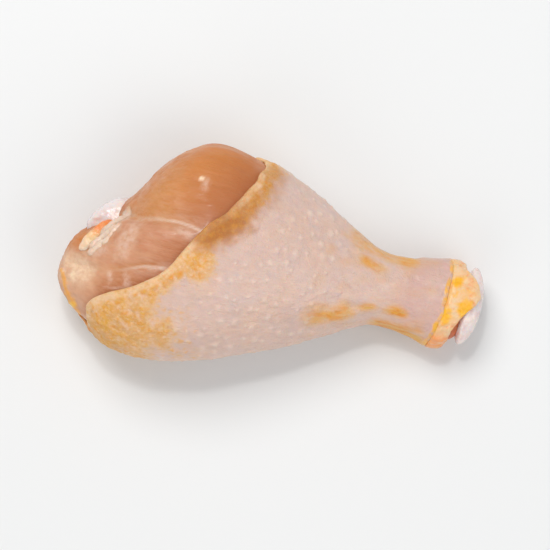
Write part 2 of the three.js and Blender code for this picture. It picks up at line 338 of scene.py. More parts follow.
fleshGloss = {
    "Subsurface Weight": 0.25,
    "Subsurface Radius": (1.0, 0.38, 0.2),
    "Subsurface Scale": 0.0022,
    "Coat Weight": 0.2,
    "Coat Roughness": 0.18,
    "IOR": 1.4,
}

# Skin
skinLook = {
    "thickness": 1.9,
    "columns": 360,
    "outerRows": 236,
    "innerRows": 12,
    "rimRows": 6,
    "hockEnd": 114.1,  # x where the skin stops at the hock
    "hockSlant": 1.5,  # how far that end leans over, and towards which angle
    "hockTowards": 60,
    # the free edge: the angle round the leg from +Y towards +Z, in degrees, and x
    "edge": [
        (180, 13.2), (192, 9.8), (206, 5.8), (222, 3.2), (242, 2.4), (266, 4), (290, 11), (310, 22),
        (328, 36), (345, 48), (360, 54.6), (386, 54.6), (410, 50.4), (426, 46.8), (435, 42.8),
        (445, 39), (456, 35), (462, 32.8), (466.6, 30.2), (470.2, 26.4), (472.6, 21.8), (475.6, 17.6),
        (483, 14.6), (494, 13.2), (508, 13), (524, 13.8), (540, 13.2),
    ],
    "edgeScale": 0.42,  # millimetres to a degree, for distances along that edge
    "neatAt": 110,  # the angle about which the skin lies neatly, and how far from it that ends
    "neatEnd": (65, 100),
    "edgeTuck": 0.35,  # how far the free edge is drawn in towards the meat
    "edgeLoss": (0.2, 0.35),  # the share of its thickness that it loses, and how much more far round
    "shank": (76, 92),  # x over which the shank begins, and the knuckle at the hock
    "knuckleFrom": (97, 105),
    "follicleSpacing": 4.1,
    "follicleHeight": 0.26,
    "follicleSizes": (0.7, 1.7),
    "follicleGaps": 0.18,  # the share of places without one
    "fatBand": 4.6,  # how far the fat shows through behind the free edge
    "thinBand": (9.5, 3),  # how far behind it the skin turns thin and is thinnest, and y where that begins
    "thinAcross": (-4, 2),
    # patches where more shows: the middle, the reach and the strength of each
    "fatPatches": [(19.5, -30, 12.5, 14, 1.3), (40.5, -5.5, 4.6, 4.4, 1.3), (35.5, -27, 18, 12.5, 0.46)],
    # streaks of fat along the shank: angle and spread, where the streak starts and ends, and its strength
    "streaks": [
        (129, 10, 72, 91, 1), (121, 6, 86, 98, 0.9), (123, 8, 96, 107, 2.2), (168, 20, 92, 115, 1.9),
        (200, 16, 88, 112, 1.3), (255, 22, 84, 110, 1), (20, 20, 80, 108, 0.9), (55, 8, 84, 98, 0.8),
    ],
    "pink": (0.63, 0.445, 0.375),
    "lilac": (0.63, 0.475, 0.45),
    "peach": (0.72, 0.47, 0.33),
    "cream": (0.84, 0.6, 0.38),
    "creamPink": (0.8, 0.56, 0.44),
    "amber": (0.7, 0.4, 0.125),
    "tan": (0.62, 0.32, 0.12),
    "fatYellow": (0.77, 0.37, 0.045),
    "fatOrange": (0.72, 0.27, 0.03),
    "ochre": (0.44, 0.155, 0.03),
    "brightYellow": (0.93, 0.46, 0.02),
    "knuckle": (0.62, 0.38, 0.33),
    "dot": (0.78, 0.6, 0.5),
}

edgeRows = np.array(skinLook["edge"], float) * (skinLook["edgeScale"], 1)
edgeFine = curveAt(edgeRows, np.linspace(0, 1, 4000))
edgeLength = np.concatenate([[0], np.cumsum(np.linalg.norm(np.diff(edgeFine, axis=0), axis=1))])
edgeLength /= edgeLength[-1]
edgeStart = skinLook["edge"][0][0]


def pastEdge(x, angle):
    # how far a place on the meat lies past the free edge; 0 under the skin
    degrees = edgeStart + np.mod(np.degrees(angle) - edgeStart, 360)
    flat = np.stack([degrees * skinLook["edgeScale"], x, np.zeros(len(x))], axis=1)
    far, _ = nearest([(*p, 0) for p in edgeFine[::4]], flat)
    return np.where(x < np.interp(flat[:, 0], edgeFine[:, 0], edgeFine[:, 1]), far, 0.0)


def hockSlant(angle):
    return skinLook["hockSlant"] * np.cos(angle - math.radians(skinLook["hockTowards"]))


def roundNoise(turn, size, seed):
    # noise that closes on itself round the leg; size is a share of the way round
    ring = np.stack([np.cos(2 * math.pi * turn), np.sin(2 * math.pi * turn), 0 * turn], axis=1)
    return wave(ring, size * 2 * math.pi, seed)


def farSide(angle):
    # 0 on the side where the skin lies neatly, 1 on the other side, where it is torn more unevenly
    return ramp(*skinLook["neatEnd"], np.abs(turnedFrom(angle, skinLook["neatAt"])))


edgeTurns = np.linspace(0, 1, 1440)
edgeWander = 1.2 * roundNoise(edgeTurns, 0.08, 51) + 0.7 * roundNoise(edgeTurns, 0.025, 52)
edgeDegrees = np.interp(edgeTurns, edgeLength, edgeFine[:, 0]) / skinLook["edgeScale"]
edgeWander *= 1 + 1.5 * farSide(np.radians(edgeDegrees))
hockWander = 0.6 * roundNoise(edgeTurns, 0.07, 53) + 0.4 * roundNoise(edgeTurns, 0.03, 54)


def skinPlace(turn, run):
    # turn goes round the leg and run from the free edge to the hock, both from 0 to 1
    turn = np.mod(turn, 1)
    edgeX = np.interp(turn, edgeLength, edgeFine[:, 1]) + np.interp(turn, edgeTurns, edgeWander)
    edgeAngle = np.radians(np.interp(turn, edgeLength, edgeFine[:, 0]) / skinLook["edgeScale"])
    even = np.radians(edgeStart + 360 * turn)
    angle = edgeAngle + (even - edgeAngle) * ramp(0, 1, run * 1.1)
    hock = skinLook["hockEnd"] + hockSlant(angle) + np.interp(turn, edgeTurns, hockWander)
    return shareAt(edgeX) * (1 - run) + shareAt(hock) * run, angle


def skinSurface(turn, run, height):
    share, angle = skinPlace(turn, run)
    return legPoint(share, angle) + legNormal(share, angle) * height


def follicleSpots():
    # staggered rows round the leg, each spot with its own size
    draw = random.Random(7)
    rows, sizes = [], []
    spacing, gaps = skinLook["follicleSpacing"], skinLook["follicleGaps"]
    for i, x in enumerate(np.arange(4, skinLook["hockEnd"] - 3, spacing * 0.87)):
        y0, y1, z0, z1 = curveAt(leg["stations"], shareAt([x]))[0][1:]
        count = max(6, round(math.pi * (y1 - y0 + z1 - z0) / 2 / spacing))
        for k in range(count):
            turn = (k + 0.5 * (i % 2) + draw.uniform(-0.3, 0.3)) / count
            rows.append((x + draw.uniform(-1.2, 1.2), 2 * math.pi * turn))
            sizes.append(draw.uniform(*skinLook["follicleSizes"]) * (draw.random() > gaps))
    spots = np.array(rows)
    return legPoint(shareAt(spots[:, 0]), spots[:, 1]), np.array(sizes)


def makeSkinMaterial():
    paint = Paint("wetSkin", skinLook, "pink", {**fleshGloss, "Subsurface Weight": 0.35})
    fat, streak, thin = (paint.value(name) for name in ("fat", "streak", "thin"))
    dot = paint.step(paint.value("spot"), 1.0, 0.1)
    lengthwise = paint.stretched(3)
    mottle = paint.patches(0.0022, 0.5, 0.2, 3.0)
    lobules = paint.lobules(0.0023, 0.5)
    paint.dapple("peach", (0.011, 0.4, 0.22, 1.0), 0.6)
    paint.dapple("lilac", (0.006, 0.46, 0.2, 2.0), 0.6)
    paint.lay("creamPink", mottle, 0.3)
    paint.dapple("creamPink", (0.0012, 0.4, 0.12, 14.0), 0.3, place=lengthwise)
    paint.lay("peach", paint.value("side"), 0.5)
    paint.dapple("knuckle", (0.006, 0.66, 0.2, 13.0), 0.7, paint.value("knuckle"))
    paint.lay("dot", dot, 0.6)
    # fat shows yellow through the skin near the free edge
    nearFat = paint.step(fat, -0.15, 0.5)
    thickFat = paint.step(fat, 0.1, 0.55)
    paint.dapple("amber", (0.004, 0.92, 0.25, 9.0), 0.88, nearFat)
    paint.dapple("fatYellow", (0.003, 0.76, 0.22, 4.0), 0.84, thickFat)
    paint.dapple("tan", (0.005, 0.5, 0.2, 18.0), 0.62, thickFat)
    paint.dapple("peach", (0.006, 0.42, 0.16, 24.0), 0.5, nearFat, paint.step(fat, 1.1, 0.7))
    paint.dapple("creamPink", (0.003, 0.3, 0.14, 15.0), 0.6, nearFat)
    flecks = paint.times(lobules, paint.patches(0.0013, 0.6, 0.16, 8.0), paint.step(fat, -0.4, 0.2))
    paint.dapple("fatYellow", (0.007, 0.7, 0.2, 12.0), 0.9, flecks)
    paint.dapple("fatOrange", (0.0019, 0.57, 0.1, 5.0), 0.8, thickFat, lobules)
    paint.dapple("cream", (0.0011, 0.36, 0.1, 19.0), 0.42, nearFat)
    # the meat shows brown where the skin is thin
    brown = paint.times(thin, paint.patches(0.005, 1.1, 0.25, 21.0))
    paint.lay("ochre", brown, 0.95)
    paint.dapple("fatYellow", (0.0018, 0.42, 0.15, 22.0), 0.35, brown)
    # streaks of fat along the shank
    paint.dapple("amber", (0.005, 0.74, 0.2, 6.0), 0.8, streak, place=lengthwise)
    paint.dapple("fatYellow", (0.003, 0.5, 0.16, 7.0), 0.85, streak, place=lengthwise)
    paint.dapple("fatOrange", (0.002, 0.46, 0.1, 16.0), 0.7, streak, place=lengthwise)
    # the free edge, its underside, and the line of fat at the hock
    rim = paint.times(paint.step(paint.value("edge"), 1.3, 0.2), paint.step(thin, 1.3, 0.2))
    paint.dapple("cream", (0.003, 0.66, 0.25, 10.0), 0.65, rim)
    paint.dapple("fatOrange", (0.004, 0.7, 0.2, 20.0), 0.8, paint.value("under"))
    paint.dapple("brightYellow", (0.004, 0.52, 0.14, 11.0), 0.9, paint.value("hock"))
    creases = paint.patches(0.0014, 0.5, 0.2, 17.0, lengthwise)
    relief = ((dot, 0.00005), (paint.lobules(0.0009, 0.5), 0.00006), (mottle, 0.0001),
              (paint.times(lobules, nearFat), 0.00014), (creases, 0.0001))
    dull = sums(paint.tree, "MAXIMUM", thin, paint.times(thickFat, 0.7))
    return paint.finish(0.0005, 0.00004, relief, (0.3, 0.5), dull)


def makeSkin():
    look = skinLook
    outer, inner, rim = look["outerRows"], look["innerRows"], look["rimRows"]
    rows = outer + inner + 2 * rim
    bm = bmesh.new()
    bmesh.ops.create_grid(bm, x_segments=look["columns"], y_segments=rows, size=1)
    flat = (places(bm) + 1) / 2
    turn, row = flat[:, 0], np.round(flat[:, 1] * rows)
    half = look["thickness"] / 2
    # the rows go over the outer face, round the end at the hock, back inside and round the free edge
    stretch = [row <= outer, row <= outer + rim, row <= outer + rim + inner]
    run = np.select(stretch, [row / outer, np.ones(len(row)), 1 - (row - outer - rim) / inner], 0.0)
    bend = math.pi * np.select(stretch, [np.zeros(len(row)), (row - outer) / rim, np.ones(len(row))],
                               1 - (row - outer - rim - inner) / rim)
    share, angle = skinPlace(turn, run)
    base, normal = legPoint(share, angle), legNormal(share, angle)
    step = 0.002
    before = legPoint(*skinPlace(turn - step, run))
    after = legPoint(*skinPlace(turn + step, run))
    outward = unit(np.cross(normal, after - before)) * np.where(run < 0.5, -1, 1)[:, None]

    samples = np.linspace(0, 1, 1500)
    middle = leg["gap"] + half
    edge, _ = nearest(skinSurface(samples, 0 * samples, middle), base + normal * middle)
    edge = np.maximum(edge - 0.5, 0)
    spots, sizes = follicleSpots()
    away, which = nearest(spots, base)
    size = sizes[which]
    spot = np.where(size > 0, away / np.maximum(size, 0.1), 3.0)
    x, y = base[:, 0], base[:, 1]
    shank = ramp(*look["shank"], x)
    quiet = (0.35 + 0.65 * ramp(4, 14, edge)) * (1 - 0.7 * shank)
    far = farSide(angle)
    fat = 1 - edge / (look["fatBand"] * (1 + far * (0.3 + 1.4 * wave(base, 10, 25))))
    for patchX, patchY, reachX, reachY, strength in look["fatPatches"]:
        fat = np.maximum(fat, strength - np.hypot((x - patchX) / reachX, (y - patchY) / reachY))
    fat += 0.3 * wave(base, 7, 7) + 0.2 * wave(base, 2.5, 10)
    thin = ramp(*look["thinBand"], edge + 2 * wave(base, 5, 19) + 1.5 * wave(base, 1.6, 20))
    thin *= ramp(*look["thinAcross"], y) * ramp(0.1, 0.5, normal[:, 2]) * (1 - 0.5 * ramp(7, 20, y))
    streak = np.zeros(len(x))
    fray = 0.35 * wave(base * (0.5, 1, 1), 3.5, 18)
    for streakAngle, spread, start, end, strength in look["streaks"]:
        near = strength * hump(turnedFrom(angle, streakAngle), 0, spread) + fray
        streak = np.maximum(streak, near * ramp(start, start + 7, x) * ramp(end, end - 5, x))

    detail = (
        0.6 * wave(base, 21, 8) + 0.3 * wave(base * (0.6, 1, 1), 8, 1) + 0.12 * wave(base, 3, 2)
        + 0.25 * wave(base, 1.5, 3) * ramp(-0.1, 0.4, fat) * (1 - thin)  # fat lobules
        + 0.08 * wave(base * (0.25, 1, 1), 1.4, 4)  # fine creases along the leg
        + hump(edge, 1.0, 1.2) * (0.1 + 0.6 * wave(base, 4, 5)) * (1 - 0.7 * thin)  # the lip
        + hump(edge, 0, 2.5) * (0.6 + 0.8 * far) * wave(base, 11, 16)  # it curls a little here and there
        - 0.3 * hump(edge, 0, 1.0)
        + hump(run, 0.985, 0.012) * (0.05 + 0.5 * wave(base, 3, 9))  # the roll at the hock
        + 0.5 * shank * wave(base * (0.3, 1, 1), 2.8, 6)  # folds along the shank
        + look["follicleHeight"] * ramp(1.1, 0, spot) * quiet
    )
    # the edge lies close on the meat and thins out here and there
    tuck = look["edgeTuck"] * hump(edge, 0, 3)
    loss, moreLoss = look["edgeLoss"]
    thinning = (loss + moreLoss * far) * hump(edge, 0, 3.5) * ramp(-0.35, 0.35, wave(base, 9, 27))
    half = half * (1 - thinning)
    height = leg["gap"] + half - tuck + half * np.cos(bend) + detail * np.cos(bend / 2) ** 2
    points = base + normal * height[:, None] + outward * (half * np.sin(bend))[:, None]
    points[:, 2] = np.maximum(points[:, 2], half * (1 - np.cos(bend)))
    values = {
        "edge": edge,
        "fat": fat,
        "spot": spot + 2 * (1 - quiet),
        "streak": streak,
        "thin": thin,
        "hock": ramp(0.978, 0.992, run),
        "side": ramp(0.45, 0, np.abs(normal[:, 2])),
        # the free edge under the thick end
        "under": ramp(0.35, -0.1, normal[:, 2]) * ramp(3, 0.4, edge) * ramp(-10, -18, y),
        "knuckle": ramp(*look["knuckleFrom"], x),
    }
    return finishPiece("drumstickSkin", bm, points, values, makeSkinMaterial())


# the leg's y is set from the skin's own width
probe = np.linspace(0, 1, 720, endpoint=False)
outerHeight = leg["gap"] + skinLook["thickness"]
widest = min(skinSurface(probe, 0 * probe + r, outerHeight)[:, 1].min() for r in np.linspace(0, 1, 60))
legPlace[1] = cadBox[0].y / mm - widest
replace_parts(makeSkin(), "skin")

# The shin bone's form and colours; the meat lies round it
boneLook = {
    "line": [(8.5, 4.8, 17.2), (13.8, 0.2, 17.2), (23, -3.4, 17.6), (45, -3, 17.4), (80, 0, 13.8),
             (108, 1.4, 11), (120, 1.6, 10.8), (128, 1.6, 10.8)],
    # shares of the line, half width and half height
    "sizes": [(0, 0.4, 0.3), (0.006, 4.4, 3.4), (0.022, 7.4, 5.2), (0.05, 8, 5.7), (0.085, 6.8, 5.2),
              (0.14, 4.6, 4.2), (0.3, 3.7, 3.5), (0.7, 3.8, 3.4), (0.86, 5.2, 4.4), (0.93, 6.4, 5),
              (0.943, 7.4, 5.5), (0.949, 9.9, 7.1), (0.957, 11.3, 8.1), (0.967, 11, 7.9), (0.977, 10.1, 7.3),
              (0.986, 8.6, 6.4), (0.994, 6.2, 4.6), (1, 0.4, 0.3)],
    "lobes": 0.09,  # how far the ends bulge, as a share of their width
    "saddle": (1.1, 2.6),  # the dip between the two condyles of the hock: its depth and half width
    "columns": 140,
    "rows": 240,
    "white": (0.84, 0.71, 0.64),
    "blueWhite": (0.8, 0.74, 0.75),
    "pink": (0.7, 0.4, 0.33),
}

# Meat
meatLook = {
    "columns": 320,
    "rows": 240,
    "crown": 2.4,  # how far a bare muscle swells between its seams
    "bareFade": 8,  # how far past the skin's free edge that takes to build up
    "speck": (35.9, 19.3, 33.4),  # a dot of fat on the largest muscle
    # films of white tissue on the muscles, and painted glints among them: the middle x and y, half length,
    # half width, direction in degrees
    "filmsAndGlints": [
        (35.2, 2.4, 3.8, 1.7, -18), (26.5, 4.6, 7, 0.6, 3), (23, 3.6, 5, 0.4, 12), (29.6, -10, 3, 0.6, 16),
        (15.8, -15.6, 2.4, 0.9, -62), (21.6, -15.6, 2.8, 1.2, -58), (18.5, -18.6, 4, 0.5, 8),
        (14.6, 0.5, 6.2, 2.6, 66), (11.4, -8.8, 3.8, 2.4, 32), (37.5, 17.6, 2.4, 1.4, 80),
        (19, -4, 7, 3, 80), (12.4, -3.5, 4, 2, 60),
    ],
    "filmsAbove": 14,  # films and painted glints lie above this height, and the line and dots of fat above the next
    "fatAbove": 10,
    "boneRadius": 6.5,  # the bare meat is darker this near the bone's middle line, and a little beyond
    # the thin line of fat over the thick end, x and y, and a drop of fat on it
    "fatLine": [(1.2, -17.5), (3.2, -20.3), (4.6, -22.6), (6, -24.6), (7.2, -26), (9.4, -28.6)],
    "fatDot": (7.1, -26.5),
    "recessShade": (4, -5.6, 6.5),  # painted shade in the recess beside the cartilage, orange-brown: its middle and reach
    "tip": (5.6, -16, 6.6, 6),  # the pale top of the thick end, cream tissue with a painted highlight: its middle, and its reach each way
    "shade": (11, 7),  # how far the painted shade beside the free edge reaches, and how much more on the upper side
    "upper": ((22, 36), (3, 12)),  # x and y over which the orange muscle begins
    "soft": ((17, 10), (-8, -13)),  # x and y over which the pale meat of the thick end begins
    "end": (117.5, 119),  # x over which the blood at the hock begins
    # the seams between the muscles: x, and the angle of the seam there
    "seams": [
        [(0, -10), (13, 24), (22, 60), (33, 75), (60, 92)],
        [(0, 88), (16, 94), (30, 100), (60, 112)],
        [(0, 222), (30, 219), (60, 216)],
        [(0, 268), (30, 265), (60, 262)],
        [(0, 318), (20, 330), (60, 338)],
    ],
    "tan": (0.58, 0.24, 0.07),
    "paleTan": (0.68, 0.33, 0.125),
    "tanDeep": (0.42, 0.13, 0.04),
    "orange": (0.59, 0.19, 0.032),
    "pink": (0.55, 0.225, 0.11),
    "palePink": (0.68, 0.36, 0.21),
    "cream": (0.96, 0.73, 0.5),
    "fascia": (0.84, 0.64, 0.52),
    "fatOrange": (0.85, 0.38, 0.06),
    "redBrown": (0.42, 0.13, 0.06),
    "blood": (0.8, 0.2, 0.09),
    "dot": (0.95, 0.5, 0.06),
}


def muscles(x, angle):
    # which muscle each point is on, its share across it, its nearest seam and the angle to that
    degrees = np.degrees(angle)
    fine = np.linspace(0, 1, 200)
    curves = [curveAt(rows, fine) for rows in meatLook["seams"]]
    seams = np.stack([np.interp(x, c[:, 0], c[:, 1]) for c in curves])
    turned = seams[0] + np.mod(degrees - seams[0], 360)
    bounds = np.vstack([seams, seams[:1] + 360])
    which = np.clip((turned >= bounds[:-1]).sum(axis=0) - 1, 0, len(seams) - 1)
    low = np.take_along_axis(bounds, which[None], 0)[0]
    high = np.take_along_axis(bounds, which[None] + 1, 0)[0]
    seam = np.where(turned - low < high - turned, which, which + 1) % len(seams)
    return which, (turned - low) / (high - low), seam, np.minimum(turned - low, high - turned)


def filmsAndGlints(points):
    # how strongly white tissue and painted glints cover each point, seen from above
    cover = np.zeros(len(points))
    fray = 1 + 0.35 * wave(points, 1.6, 14)
    for x, y, length, width, degrees in meatLook["filmsAndGlints"]:
        across, along = points[:, 1] - y, points[:, 0] - x
        c, s = math.cos(math.radians(degrees)), math.sin(math.radians(degrees))
        reach = np.hypot((along * c + across * s) / length, (across * c - along * s) / width)
        cover = np.maximum(cover, ramp(1.25, 0.35, reach * fray))
    return cover * (points[:, 2] > meatLook["filmsAbove"])


def fatLine(points):
    # the thin line of fat that runs over the thick end to the flap's tip
    fine = curveAt(meatLook["fatLine"], np.linspace(0, 1, 200))
    far, _ = nearest([(*p, 0) for p in fine], points * (1, 1, 0))
    uneven = far + 0.6 * wave(points, 1.3, 15) + 0.5 * wave(points, 4, 26)
    return ramp(0.95, 0.25, uneven) * (points[:, 2] > meatLook["fatAbove"])


def makeMeatMaterial():
    paint = Paint("wetMeat", meatLook, "tan", {**fleshGloss, "Coat Weight": 0.11, "Coat Roughness": 0.14})
    seam, line, pink, side, upper, recessShade, end = (
        paint.value(name) for name in ("seam", "line", "pink", "side", "upper", "recessShade", "end"))
    fibres, lengthwise = paint.stretched(7), paint.stretched(3)
    strands = paint.patches(0.0009, 0.5, 0.2, 4.0, fibres)
    # each muscle's own colour, with painted shade and a painted highlight laid over it
    paint.dapple("paleTan", (0.012, 0.4, 0.2, 1.0), 0.5)
    paint.lay("pink", pink)
    paint.dapple("palePink", (0.01, 0.5, 0.2, 2.0), 0.8, pink)
    paint.lay("orange", upper, 0.7)
    # painted shade beside the free edge, deeper on the upper side
    paint.lay("tanDeep", paint.value("shade"), 0.9)
    # painted shade on the steep sides, deeper orange
    paint.lay("orange", side, 0.7)
    paint.lay("palePink", paint.value("soft"), 0.9)
    # the pale top of the thick end: cream tissue with a painted highlight
    paint.dapple("cream", (0.003, 0.8, 0.3, 3.0), 0.95, paint.value("tip"))
    # painted shade in the recess beside the cartilage
    paint.dapple("orange", (0.003, 1.0, 0.25, 12.0), 1.0, recessShade)
    paint.lay("cream", paint.value("speck"))
    # fibres, then the white tissue in the seams and on the muscles, with painted glints among the films
    paint.lay("palePink", paint.times(strands, paint.step(upper, 1.4, 0.0)), 0.35)
    paint.dapple("tanDeep", (0.0018, 0.4, 0.2, 8.0), 0.22, place=fibres)
    paint.dapple("fascia", (0.006, 0.66, 0.2, 5.0), 0.85, paint.step(seam, 0.9, 0.1), line)
    veil = paint.times(paint.step(seam, 4.5, 0.5), line)
    paint.dapple("fascia", (0.004, 0.42, 0.18, 6.0), 0.4, veil, place=paint.stretched(2.5))
    paint.dapple("fascia", (0.006, 0.42, 0.2, 13.0), 0.4, side, place=lengthwise)
    paint.dapple("redBrown", (0.009, 0.4, 0.22, 14.0), 0.35, side, place=lengthwise)
    # white tissue films, some of them painted glints
    paint.dapple("fascia", (0.0016, 0.62, 0.25, 10.0), 0.45, paint.value("filmAndGlint"))
    # fat and blood
    paint.lay("fatOrange", paint.value("fatLine"), 0.85)
    paint.lay("dot", paint.value("dot"), 0.9)
    paint.dapple("redBrown", (0.0022, 0.6, 0.2, 11.0), 0.5, paint.value("bone"))
    paint.lay("blood", end)
    paint.dapple("tanDeep", (0.002, 0.5, 0.2, 9.0), 0.8, end)
    relief = ((strands, 0.00007), (paint.patches(0.0025, 0.5, 0.3, 7.0, lengthwise), 0.00015))
    dull = sums(paint.tree, "MAXIMUM", recessShade, paint.times(upper, 0.4))
    return paint.finish(0.0006, 0.00004, relief, (0.38, 0.56), dull)


def makeMeat():
    look = meatLook
    bm = bmesh.new()
    bmesh.ops.create_uvsphere(bm, u_segments=look["columns"], v_segments=look["rows"], radius=1)
    co = places(bm)
    polar = np.arccos(np.clip(-co[:, 2], -1, 1)) / math.pi  # from the thick end to the hock
    share = polar * (0.62 + 0.38 * polar)
    pole = (polar < 1e-5) | (polar > 1 - 1e-5)
    angle = np.where(pole, 0.0, np.arctan2(co[:, 1], co[:, 0]))
    base = legPoint(share, angle)
    normal = legNormal(np.clip(share, 1e-3, 1 - 1e-3), angle)
    x, y = base[:, 0], base[:, 1]
    which, across, nearSeam, seamDegrees = muscles(x, angle)
    past = pastEdge(x, angle)
    bare = ramp(0, look["bareFade"], past)
    crown = 1 - np.abs(2 * across - 1) ** 3
    girth = np.linalg.norm(legPoint(share, angle + 0.01) - legPoint(share, angle - 0.01), axis=1) / 0.02
    seam = np.radians(seamDegrees) * girth
    lengthwise = base * (0.2, 1, 1)
    fine = curveAt(boneLook["line"], np.linspace(0, 0.2, 60))
    nearBone = nearest(fine, base)[0] - look["boneRadius"]
    height = bare * (
        look["crown"] * (crown - 0.72) * ramp(0, 5, x)
        + 0.45 * wave(base, 9, 11) + 0.25 * wave(lengthwise, 2.2, 12) + 0.12 * wave(lengthwise, 0.9, 13)
        + 0.2 * hump(seam, 0, 0.5)  # the white line in a seam stands up a little
        + 0.3 * fatLine(base)
    )
    flat, high = base[:, :2], base[:, 2] > look["fatAbove"]
    recessX, recessY, recessReach = look["recessShade"]
    tipX, tipY, tipLength, tipWidth = look["tip"]
    tip = np.hypot((x - tipX) / tipLength, (y - tipY) / tipWidth) + 0.3 * wave(base, 3, 24)
    shade, moreShade = look["shade"]
    (upperX, upperY), (softX, softY) = look["upper"], look["soft"]
    points = base + normal * np.where(pole, 0.0, height)[:, None]
    points[:, 2] = np.maximum(points[:, 2], skinLook["thickness"] + leg["gap"])
    values = {
        "seam": seam,
        "pink": np.where(which == 0, ramp(0, 3, seam), np.where(which == 1, 0.55, 0.0)),
        "line": np.choose(nearSeam, [0.25 + 0.35 * ramp(22, 34, x), 0.7 * ramp(14, 26, x), 0.2, 0.6, 0.5]),
        "fatLine": fatLine(base),
        "dot": ramp(1.6, 0.8, np.linalg.norm(flat - look["fatDot"], axis=1)) * high,
        "recessShade": ramp(1, 0.4, np.hypot(flat[:, 0] - recessX, flat[:, 1] - recessY) / recessReach) * high,
        "shade": ramp(shade + moreShade * ramp(3, 8, y), 0, past),
        "upper": ramp(*upperX, x) * ramp(*upperY, y),
        "filmAndGlint": filmsAndGlints(base),
        # the steep sides: painted shade there, and the tissue's own veils and red-brown patches
        "side": ramp(0.85, 0.2, normal[:, 2]),
        "soft": ramp(*softX, x + 3 * wave(base, 4, 23)) * ramp(*softY, y),
        "tip": ramp(1.3, 0.2, tip) * high,
        "bone": ramp(5, 0.5, nearBone + 2.5 * wave(base, 3, 17)) * bare,
        "speck": ramp(1.2, 0.5, np.linalg.norm(base - look["speck"], axis=1)),
        "end": ramp(*look["end"], x),
    }
    return finishPiece("legMeat", bm, points, values, makeMeatMaterial()), base, height


legMeat, meatBase, meatHeight = makeMeat()
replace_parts(legMeat, "meat")


def makeCartilageMaterial():
    gloss = {**fleshGloss, "Coat Weight": 0.5, "Coat Roughness": 0.12}
    paint = Paint("wetCartilage", boneLook, "white", gloss)
    paint.dapple("blueWhite", (0.005, 0.5, 0.14, 1.0), 0.8)
    paint.dapple("pink", (0.003, 0.37, 0.14, 2.0), 0.5)
    return paint.finish(0.0009, 0.0001, ((paint.patches(0.0024, 0.5, 0.3, 3.0), 0.0002),), (0.16, 0.32))


def makeBone():
    look = boneLook
    bm = bmesh.new()
    bmesh.ops.create_uvsphere(bm, u_segments=look["columns"], v_segments=look["rows"], radius=1)
    co = places(bm)
    polar = np.arccos(np.clip(-co[:, 2], -1, 1)) / math.pi
    angle = np.arctan2(co[:, 1], co[:, 0])
    share, wide, tall = curveAt(look["sizes"], polar).T
    fine = curveAt(look["line"], np.linspace(0, 1, 3000))
    length = np.concatenate([[0], np.cumsum(np.linalg.norm(np.diff(fine, axis=0), axis=1))])
    slope = np.gradient(fine, axis=0)
    at = np.clip(share, 0, 1) * length[-1]
    centre = np.stack([np.interp(at, length, fine[:, k]) for k in range(3)], axis=1)
    axis = unit(np.stack([np.interp(at, length, slope[:, k]) for k in range(3)], axis=1))
    sideways = unit(np.cross(np.array([0, 0, 1.0]), axis))
    up = np.cross(axis, sideways)
    ends = np.minimum(share, 1 - share)
    lobes = look["lobes"] * (1 - ramp(0, 0.1, ends))
    swell = 1 + lobes * np.cos(2 * angle) + np.where(share < 0.5, 0.6 * lobes * np.cos(5 * angle), 0)
    across, over = wide * swell * np.cos(angle), tall * swell * np.sin(angle)
    points = centre + sideways * across[:, None] + up * over[:, None]
    outward = unit(points - centre)
    knee = share < 0.5
    lumps = np.where(knee, 1.0, 0.4) * wave(points, 4, 21)
    lumps += np.where(knee, 0.3, 0.12) * wave(points, 1.7, 22)
    points = points + outward * (lumps * ramp(0.1, 0.03, ends))[:, None]
    saddleDepth, saddleWidth = look["saddle"]
    points[:, 0] -= saddleDepth * hump(over, 0, saddleWidth) * ramp(0.96, 0.99, share)
    return finishPiece("shinBone", bm, points, {}, makeCartilageMaterial())


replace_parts(makeBone(), "shin_bone")

# Fat: the cuff at the hock and the strip beside the knee
fatLook = {
    # the surface under the cuff: x, lowest and highest y, lowest and highest z
    "cuffStations": [
        (110, -10, 11.2, 2.8, 19.2),
        (115, -11.1, 12.2, 2.1, 19),
        (118.5, -10.3, 12.4, 2.5, 18.7),
        (121, -10.5, 13.3, 2.6, 18.5),
        (124, -10.9, 14.1, 2.6, 18.4),
        (126, -10.9, 14.1, 2.6, 17.4),
        (128, -10.9, 14.1, 2.6, 15.6),
    ],
    "cuffFrom": 113.6,  # x where it starts and ends
    "cuffTo": 119.4,
    "cuffThickness": 2.1,
    "cuffColumns": 260,
    "cuffRows": 64,
    "tongue": 5.6,  # how far the cuff runs on over the cartilage, at which angle, and how wide that tongue is
    "tongueAt": 75,
    "tongueWidth": 32,
    # strands beside the knee: x and angle at either end, half width and half thickness; all but the
    # first are pale
    "strands": [
        (((12.4, 29), (5.7, 69)), 2.2, 0.9),
        (((16.4, 26), (10.4, 55)), 3, 0.45),
        (((14.6, 44), (8, 67)), 1.8, 0.45),
        (((12.8, 60), (7.8, 74)), 1.5, 0.42),
        (((15.8, 48), (11.4, 65)), 1.4, 0.38),
    ],
    "strandColumns": 48,
    "strandRows": 80,
    "flatBelow": 0.5,  # strands of less half thickness are flat and fade into the meat
    "flatSunk": 0.22,  # how far their borders sink into it
    "raised": 0.05,  # how far the others stand clear of it
    "yellowSpots": [(116.4, -3, 2.8), (122.4, 0.4, 3.4), (118, 8, 2)],  # on the cuff: middle and reach
    "cream": (0.85, 0.5, 0.22),
    "paleCream": (0.87, 0.6, 0.36),
    "orange": (0.87, 0.2, 0.02),
    "yellow": (0.95, 0.46, 0.015),
    "white": (0.9, 0.67, 0.54),
    "flesh": (0.66, 0.34, 0.2),
}


